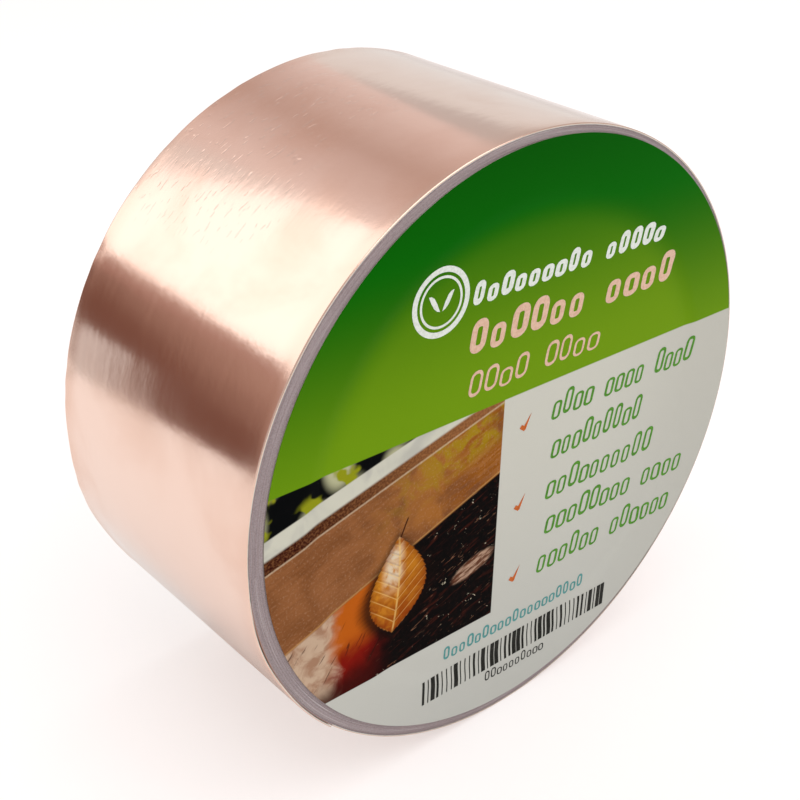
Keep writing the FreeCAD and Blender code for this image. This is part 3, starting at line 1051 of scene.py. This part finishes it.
@dataclass
class Winding:
    """Some fifty turns of tape, wound as one spiral strip."""

    roll: Roll
    steps: int = 150
    slack: float = 0.01 * MM
    wander: float = 0.07 * MM
    lip: float = 0.1 * MM

    def build(self) -> None:
        """Wind the strip from the core to the inner end of the last turn."""
        roll = self.roll
        start = roll.core_radius + roll.tape / 2
        end = roll.free_radius - 1.5 * roll.tape
        turns = (end - start) / roll.tape
        direction = roll.free_direction - 360 * turns
        edge = WoundEdge("wound_edge", roll.free_radius, roll.free_direction, roll.tape, roll.half_width)
        mesh = winding_recipe().make(
            "wound_turns",
            {
                "Turns": turns,
                "Steps": self.steps,
                "Start Radius": start,
                "End Radius": end,
                "Strip": roll.tape - self.slack,
                "Width": 2 * roll.half_width,
                "Core Radius": roll.core_radius,
                "Core Dip": roll.core_dip,
                "Wander": self.wander,
                "Lip": self.lip,
                "Seed": 4.0,
                "Start": (math.pi / 2, -math.radians(direction), 0.0),
                "Finish": edge.material(),
            },
        )
        place(shown("visual_wound_turns", mesh, edge), "tape_edge", ("wound_turns",))


class Bend(Enum):
    """The stretches of the lifted tail, each running between two directions round the roll."""

    ROOT = ("roll", "tail_first", 180.0, 187.0)
    MIDDLE = ("tail_first", "tail_middle", 187.0, 201.0)
    END = ("tail_middle", "tail_end", 201.0, 222.0)


@dataclass
class FoilTape:
    """The last turn of tape and its lifted tail, in layers: foil, adhesive and release paper."""

    roll: Roll
    bulge: float = 0.3 * MM
    end_gap: float = 0.12 * MM
    segment: float = 14.0
    step: float = 0.7

    def layers(self) -> dict[str, Layer]:
        """Return the tape's layers by name."""
        roll = self.roll
        glue = roll.foil + roll.adhesive
        paper = Paper("release_liner", "#e4dfd6", "#c9c1b4", 0.55, 1600.0)
        return {
            "foil": Layer(0.0, roll.foil, 0.0, CopperFoil("copper_foil"), "copper_foil"),
            "adhesive": Layer(roll.foil, glue, 0.06 * MM, Adhesive("tape_adhesive"), "tape_adhesive"),
            "liner": Layer(glue, roll.tape, 0.02 * MM, paper, "release_liner"),
        }

    def gap(self, direction: np.ndarray) -> np.ndarray:
        """Return how far the tail stands off the roll at directions in degrees."""
        t = np.clip((direction - self.roll.root_direction) / (2 * self.segment), 0, 1)
        rest = np.clip((direction - self.roll.root_direction - self.segment) / (2 * self.segment), 0, 1)
        return self.bulge * np.sin(math.pi * t) ** 2 + self.end_gap * rest * rest * (3 - 2 * rest)

    def at(self, direction: float) -> tuple[float, float, float]:
        """Return the place of the tail's outer surface at a direction, mid-width."""
        spot = np.array([direction])
        radius = float((self.roll.radius(spot) + self.gap(spot))[0])
        turn = math.radians(direction)
        return (radius * math.cos(turn), 0.0, radius * math.sin(turn))

    def build(self) -> None:
        """Build the last turn and the three stretches of the tail."""
        roll, layers = self.roll, self.layers()
        run = stations(roll.free_direction - 360, roll.root_direction, self.step)
        last = Course(run, roll.radius(run))
        for name, layer in layers.items():
            made = layer_strip(f"visual_last_turn_{name}", roll, last, layer, 46 if name == "foil" else 24)
            place(made, layer.slot, (f"last_turn_{name}",))
        for count, bend in enumerate(Bend, 1):
            inner, outer, first, final = bend.value
            run = stations(first, final, self.step / 2)
            course = Course(run, roll.radius(run) + self.gap(run))
            hinge = roll.root_direction + (count - 1) * self.segment
            start, end = self.at(hinge), self.at(hinge + self.segment / 2)
            for name, layer in layers.items():
                flap = name == "liner" and bend is Bend.END
                node = "liner_flap" if flap else f"tail_{name}_{count}"
                made = layer_strip("visual_" + node, roll, course, layer, 46 if name == "foil" else 24)
                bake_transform(made)
                settle(made, (node,))


@dataclass
class Row:
    """One printed row: where its foot starts, how long and high it is, and its look."""

    name: str
    x: float
    z: float
    length: float
    height: float
    letters: int
    stroke: float
    ink: str
    slant: float = 0.18
    word: int = 0


@dataclass
class Label:
    """The round paper label, its glue and its printing."""

    roll: Roll
    rings: int = 110
    sectors: int = 260
    raise_ink: float = 0.02 * MM
    bow: float = 0.12 * MM
    crowding: float = 0.8

    inks: dict = field(
        default_factory=lambda: {
            "white": Ink("ink_white", "#e6e9e2", "#d7dbd2"),
            "copper": Ink("ink_copper", "#e3bda6", "#d6ad95"),
            "green": Ink("ink_green", "#55922a", "#477f22"),
            "teal": Ink("ink_teal", "#5c9a98", "#4c8886"),
            "black": Ink("ink_black", "#14130f", "#26241e"),
            "orange": Ink("ink_orange", "#c9672c", "#b5561c"),
        }
    )

    def rows(self) -> list[Row]:
        """Return the printed rows, in millimetres on the label's face."""
        return [
            Row("heading", -10.6, 28.9, 42.1, 3.7, 15, 0.95, "white", 0.2, 10),
            Row("title", -10.9, 21.2, 46.0, 5.4, 11, 1.25, "copper", 0.16, 7),
            Row("size", -11.2, 13.6, 32.2, 4.2, 10, 0.55, "copper", 0.18, 5),
            Row("note_1", 7.4, 2.9, 34.8, 4.6, 14, 0.6, "green", 0.18, 5),
            Row("note_2", 7.8, -4.6, 22.1, 4.6, 9, 0.6, "green"),
            Row("note_3", 7.1, -12.3, 26.5, 4.6, 10, 0.6, "green"),
            Row("note_4", 7.4, -19.4, 35.1, 4.6, 13, 0.6, "green", 0.18, 9),
            Row("note_5", 6.0, -26.9, 34.0, 4.6, 13, 0.6, "green", 0.18, 7),
            Row("footer", -15.1, -34.6, 33.5, 2.6, 19, 0.45, "teal", 0.05),
            Row("code", -5.7, -44.5, 14.5, 2.1, 10, 0.28, "black", 0.0),
        ]

    def face(self, radius: np.ndarray) -> np.ndarray:
        """Return the height of the label's face at distances from the roll's axis."""
        inside = np.clip(1 - radius / (self.roll.bore_radius * 0.98), 0, 1)
        return self.front + self.roll.dip(radius) + self.bow * inside**0.8

    def disc(self, name: str, above: float, thick: float, finish: Finish) -> bpy.types.Object:
        """Build a thin disc that follows the sagging face.

        Args:
            name: the piece's name.
            above: how far its front stands from the face, towards the back.
            thick: its thickness.
            finish: its finish.

        Returns:
            The disc.
        """
        turn = np.linspace(0, 2 * math.pi, self.sectors, endpoint=False)[None, :]
        ring = self.reach * (np.arange(1, self.rings + 1) / self.rings)[:, None] ** self.crowding
        x = (self.centre.x + ring * np.cos(turn)).ravel()
        z = (self.centre.z + ring * np.sin(turn)).ravel()
        y = self.face(np.hypot(x, z)) + above
        hub = float(self.face(np.array([abs(self.centre.x)]))[0]) + above
        sides = [np.stack([x, y + depth, z], 1) for depth in (0.0, thick)]
        middle = [(self.centre.x, hub + depth, self.centre.z) for depth in (0.0, thick)]
        count = self.rings * self.sectors
        rim = count - self.sectors
        faces = []
        for k in range(self.sectors):
            n = (k + 1) % self.sectors
            for side, base in enumerate((0, count)):
                faces.append((2 * count + side, base + k, base + n))
                for here in range(base, base + rim, self.sectors):
                    after = here + self.sectors
                    faces.append((here + k, here + n, after + n, after + k))
            faces.append((rim + k, rim + n, count + rim + n, count + rim + k))
        return solid_mesh(name, np.concatenate([*sides, np.array(middle)]), faces, finish)

    def print_on(self, name: str, mesh: bpy.types.Mesh, x: float, z: float, ink: str) -> None:
        """Lay a flat print on the face.

        Args:
            name: the print's name.
            mesh: its mesh, with x to the right and y up, in metres.
            x: where its foot starts, in millimetres.
            z: the same, upwards.
            ink: which ink it is in.
        """
        flat = np.empty(len(mesh.vertices) * 3)
        mesh.vertices.foreach_get("co", flat)
        flat = flat.reshape(-1, 3)
        lean = math.radians(LabelPrint.tilt)
        across = x * MM + flat[:, 0] * math.cos(lean) - flat[:, 1] * math.sin(lean)
        up = z * MM + flat[:, 0] * math.sin(lean) + flat[:, 1] * math.cos(lean)
        laid = np.stack([across, self.face(np.hypot(across, up)) - self.raise_ink - flat[:, 2], up], 1)
        mesh.vertices.foreach_set("co", laid.ravel())
        place(shown("print_" + name, mesh, self.inks[ink]), "label_print", ())

    def outline(self, loops: list[list[tuple[float, float]]]) -> bpy.types.Mesh:
        """Return flat shapes as thick as the ink, one for each closed loop, in millimetres."""
        mesh = bpy.data.meshes.new("outline")
        points, faces = [], []
        for loop in loops:
            low, count = len(points), len(loop)
            high = low + count
            points += [(a * MM, b * MM, d) for d in (0.0, INK_FILM) for a, b in loop]
            faces += [tuple(range(low, high)), tuple(range(high, high + count))]
            for k in range(count):
                n = (k + 1) % count
                faces.append((low + k, low + n, high + n, high + k))
        mesh.from_pydata(points, [], faces)
        return mesh

    def emblem(self) -> bpy.types.Mesh:
        """Return a plain round emblem: two rings and a sprig of two leaves."""
        middle, steps = 6.0, 48
        loops = []
        for outer, inner in ((5.4, 4.5), (4.0, 3.6)):
            for k in range(steps):
                a, b = (2 * math.pi * (k + d) / steps for d in (0, 1))
                corners = ((outer, a), (outer, b), (inner, b), (inner, a))
                loops.append([(r * math.cos(t) + middle, r * math.sin(t) + middle) for r, t in corners])
        back = [(t / 4, 0.9) for t in range(5)]
        belly = [(t / 4, -0.7) for t in (3, 2, 1)]
        for side in (-1, 1):
            leaf = []
            for t, bow in back + belly:
                leaf.append((middle + side * (0.2 + 2.2 * t), 4.6 + 2.8 * t + bow * math.sin(math.pi * t)))
            loops.append(leaf)
        return self.outline(loops)

    def build(self) -> None:
        """Build the label, its glue and every print."""
        low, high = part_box("label")
        self.front, self.centre = low.y, (low + high) / 2
        self.reach = (high.x - low.x) / 2
        paper = high.y - low.y
        glue_low, glue_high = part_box("label_adhesive")
        face = self.disc("visual_label", 0.0, paper * 0.97, LabelPrint("label_print"))
        place(face, "label_print", ("label",))
        glue = Adhesive("label_glue", "#d9d3c4", "#c4bba6")
        spread = self.disc("visual_label_adhesive", paper, glue_high.y - glue_low.y, glue)
        place(spread, "label_glue", ("label_adhesive",))
        row_tree, bar_tree = row_recipe(), bars_recipe()
        for seed, row in enumerate(self.rows(), 5):
            step = row.length / row.letters
            values = {
                "Count": row.letters,
                "Step": step * MM,
                "Width": (step * 0.86 - row.stroke) * MM,
                "Height": (row.height - row.stroke) * MM,
                "Stroke": row.stroke * MM,
                "Thick": INK_FILM,
                "Slant": row.slant,
                "Word": float(row.word),
                "Seed": seed,
                "Finish": self.inks[row.ink].material(),
            }
            self.print_on(row.name, row_tree.make(row.name, values), row.x, row.z, row.ink)
        bars = {"Count": 42, "Step": 1.05 * MM, "Height": 4.8 * MM, "Thick": INK_FILM, "Seed": 9}
        bars["Finish"] = self.inks["black"].material()
        self.print_on("bars", bar_tree.make("bars", bars), -19.9, -41.6, "black")
        tick = [(-1.0, 0.6), (-0.55, 1.15), (0.0, 0.8), (1.45, 2.7), (0.35, 0.0), (-0.05, -0.15)]
        ticks = [[(a, b + drop) for a, b in tick] for drop in (0.0, -15.0, -29.2)]
        self.print_on("ticks", self.outline(ticks), 1.0, 3.0, "orange")
        self.print_on("emblem", self.emblem(), -23.2, 25.2, "white")


def sheet(
    name: str, corners: list, material: bpy.types.Material, unseen_by: tuple[str, ...] = ()
) -> bpy.types.Object:
    """Stage a flat sheet with one face.

    Args:
        name: the sheet's name.
        corners: its outline.
        material: what it is made of.
        unseen_by: the kinds of rays that pass it by.

    Returns:
        The sheet.
    """
    mesh = bpy.data.meshes.new(name)
    mesh.from_pydata(corners, [], [tuple(range(len(corners)))])
    mesh.materials.append(material)
    made = stand(name, mesh)
    for kind in unseen_by:
        setattr(made, "visible_" + kind, False)
    return made


@dataclass(frozen=True)
class Drift:
    """How a card's tone changes across it: towards a tone, along a heading anticlockwise from its right."""

    tone: tuple[float, float, float]
    heading: float
    start: float
    run: float
    both_ways: bool = False
    mottle: float = 45.0


@dataclass
class Lamp:
    """A soft light panel or card, square to a line from the roll.

    Its azimuth turns from +Y towards +X. Seen from the roll, it is shifted right and up in its own plane and
    leans anticlockwise. Its brightness is its radiance.
    """

    name: str
    azimuth: float
    elevation: float
    distance: float
    width: float
    height: float
    brightness: float
    shift: tuple[float, float] = (0.0, 0.0)
    lean: float = 0.0
    tone: tuple[float, float, float] = (1.0, 1.0, 1.0)

    def __post_init__(self) -> None:
        """Work out where it stands and how it is turned."""
        a, e, lean = (math.radians(angle) for angle in (self.azimuth, self.elevation, self.lean))
        self.away = Vector((math.sin(a) * math.cos(e), math.cos(a) * math.cos(e), math.sin(e)))
        self.right = Vector((math.cos(a), -math.sin(a), 0.0))
        self.up = self.right.cross(self.away)
        place = self.away * self.distance + self.right * self.shift[0] + self.up * self.shift[1]
        side = self.right * math.cos(lean) + self.up * math.sin(lean)
        top = self.up * math.cos(lean) - self.right * math.sin(lean)
        self.place = Matrix.Translation(place) @ Matrix((-side, top, self.away)).transposed().to_4x4()

    def light(self) -> None:
        """Make it as an area light."""
        data = bpy.data.lights.new(self.name, "AREA")
        data.shape, data.size, data.size_y, data.color = "RECTANGLE", self.width, self.height, self.tone
        data.energy = self.brightness * math.pi * self.width * self.height
        stand(self.name, data).matrix_world = self.place

    def card(self, drift: Drift | None = None) -> None:
        """Make it as a card that only reflections see.

        Args:
            drift: how its tone changes across it; none keeps it plain.
        """
        material, tree = new_material(self.name)
        tone = (*self.tone, 1.0)
        if drift:
            at = local(tree)
            heading = math.radians(drift.heading)
            line = self.right * math.cos(heading) + self.up * math.sin(heading)
            x, y, z = tree.split(at)
            far = x * line.x + y * line.y + z * line.z - line.dot(self.away) * self.distance - drift.start
            if drift.both_ways:
                far = far.math("ABSOLUTE")
            uneven = (tree.noise(at, drift.mottle, 3.0) - 0.5) * 0.5
            tone = tree.blend(far / drift.run + uneven, tone, (*drift.tone, 1.0))
        tree.close(tree.add("ShaderNodeEmission", inputs={"Color": tone, "Strength": self.brightness}))
        half = [(a * self.width / 2, b * self.height / 2) for a, b in ((-1, -1), (1, -1), (1, 1), (-1, 1))]
        corners = [self.place @ Vector((a, b, 0.0)) for a, b in half]
        sheet(self.name, corners, material, ("camera", "diffuse", "shadow", "transmission", "volume_scatter"))


@dataclass
class Studio:
    """A pale tabletop, soft panels and the camera."""

    target: tuple[float, float, float] = (-3.44 * MM, 0.0, -0.85 * MM)
    azimuth: float = -40.39
    elevation: float = 30.29
    distance: float = 228.9 * MM
    lens: float = 61.22
    sensor: float = 36.0
    sky: float = 0.62
    table: float = 2.4
    veil_gap: float = 0.05 * MM
    veil_share: float = 0.5
    veil_glow: float = 1.15
    # The veil's pink tone is painted light thrown back by the copper onto the floor.
    veil_bounce_tone: tuple[float, float, float, float] = (1.0, 0.925, 0.905, 1.0)

    def camera(self) -> None:
        """Set the camera, level and aimed at the roll."""
        data = bpy.data.cameras.new("camera")
        data.lens, data.sensor_width = self.lens, self.sensor
        data.clip_start, data.clip_end = 0.01, 20.0
        a, e = math.radians(self.azimuth), math.radians(self.elevation)
        back = Vector((math.sin(a) * math.cos(e), -math.cos(a) * math.cos(e), math.sin(e)))
        camera = stand("camera", data)
        camera.location = Vector(self.target) + back * self.distance
        camera.rotation_euler = (-back).to_track_quat("-Z", "Y").to_euler()
        bpy.context.scene.camera = camera

    def lights(self) -> None:
        """Light the sky and hang the panels."""
        world = bpy.data.worlds.new("sky")
        world.use_nodes = True
        tree = Tree(world.node_tree)
        shade = (1.0, 0.99, 0.985, 1.0)
        glow = tree.add("ShaderNodeBackground", inputs={"Color": shade, "Strength": self.sky})
        tree.add("ShaderNodeOutputWorld", inputs={"Surface": glow.outputs[0]})
        bpy.context.scene.world = world
        deep, brown = (0.19, 0.085, 0.06), (0.45, 0.27, 0.225)
        rose, cool = (0.6, 0.48, 0.44), (0.96, 1.0, 1.0)
        paling = Drift((0.47, 0.31, 0.255), 120.0, 0.008, 0.065)
        haze = Drift((0.86, 0.77, 0.75), 0.0, 0.008, 0.17, True, 12.0)
        key, low = (-24.0, 28.0), (-42.0, 5.5)
        Lamp("key_panel", *key, 0.6, 0.4, 0.48, 0.88, (-0.134, 0.149), -22.0, (1.0, 0.985, 0.95)).light()
        Lamp("key_glow", *key, 0.62, 0.54, 0.56, 0.2, (-0.12, 0.16), -22.0).light()
        Lamp("overhead_panel", 165.0, 72.0, 1.2, 1.3, 1.3, 1.75).light()
        Lamp("dark_card", *low, 0.3, 0.18, 0.13, 1.0, (-0.03, -0.006), -12.0, deep).card(paling)
        Lamp("brown_card", *low, 0.302, 0.19, 0.155, 1.0, (-0.03, 0.004), -14.0, brown).card()
        Lamp("pale_card", *low, 0.29, 0.076, 0.07, 0.75, (0.023, -0.054)).card()
        Lamp("dim_card", 16.0, 41.0, 0.6, 0.42, 0.3, 1.0, lean=-10.0, tone=rose).card(haze)
        Lamp("side_panel", 46.0, 12.0, 0.9, 0.5, 0.4, 0.9, tone=cool).card()

    def veil(self, rim: list) -> None:
        """Lay a thin glowing veil over the table, as on a lit white sweep; only the camera sees it. Its glow
        is painted light that lifts the floor's shadows, and its pink tone is painted light thrown back by the
        copper.
        """
        material, tree = new_material("veil")
        clear = tree.add("ShaderNodeBsdfTransparent").outputs[0]
        glow = tree.add("ShaderNodeEmission", inputs={"Color": self.veil_bounce_tone, "Strength": self.veil_glow})
        tree.close(tree.add("ShaderNodeMixShader", inputs={0: self.veil_share, 1: clear, 2: glow.outputs[0]}))
        sheet("veil", rim, material, ("diffuse", "glossy", "shadow", "transmission", "volume_scatter"))

    def build(self) -> None:
        """Lay the table and set the lights and the camera."""
        turn = np.linspace(0, 2 * math.pi, 64, endpoint=False)
        rim = [(self.table * math.cos(t), self.table * math.sin(t), cad_box[0].z) for t in turn]
        sheet("table", rim, Tabletop("tabletop").material()).location.z = -self.veil_gap
        self.veil(rim)
        self.camera()
        self.lights()
        bpy.context.scene.view_settings.view_transform = "Standard"


def main() -> None:
    """Build the roll and its studio."""
    logging.basicConfig(level=logging.INFO, format="%(message)s")
    Studio().build()
    roll = Roll()
    Core(roll).build()
    Winding(roll).build()
    FoilTape(roll).build()
    Label(roll).build()


if __name__ == "__main__":
    main()
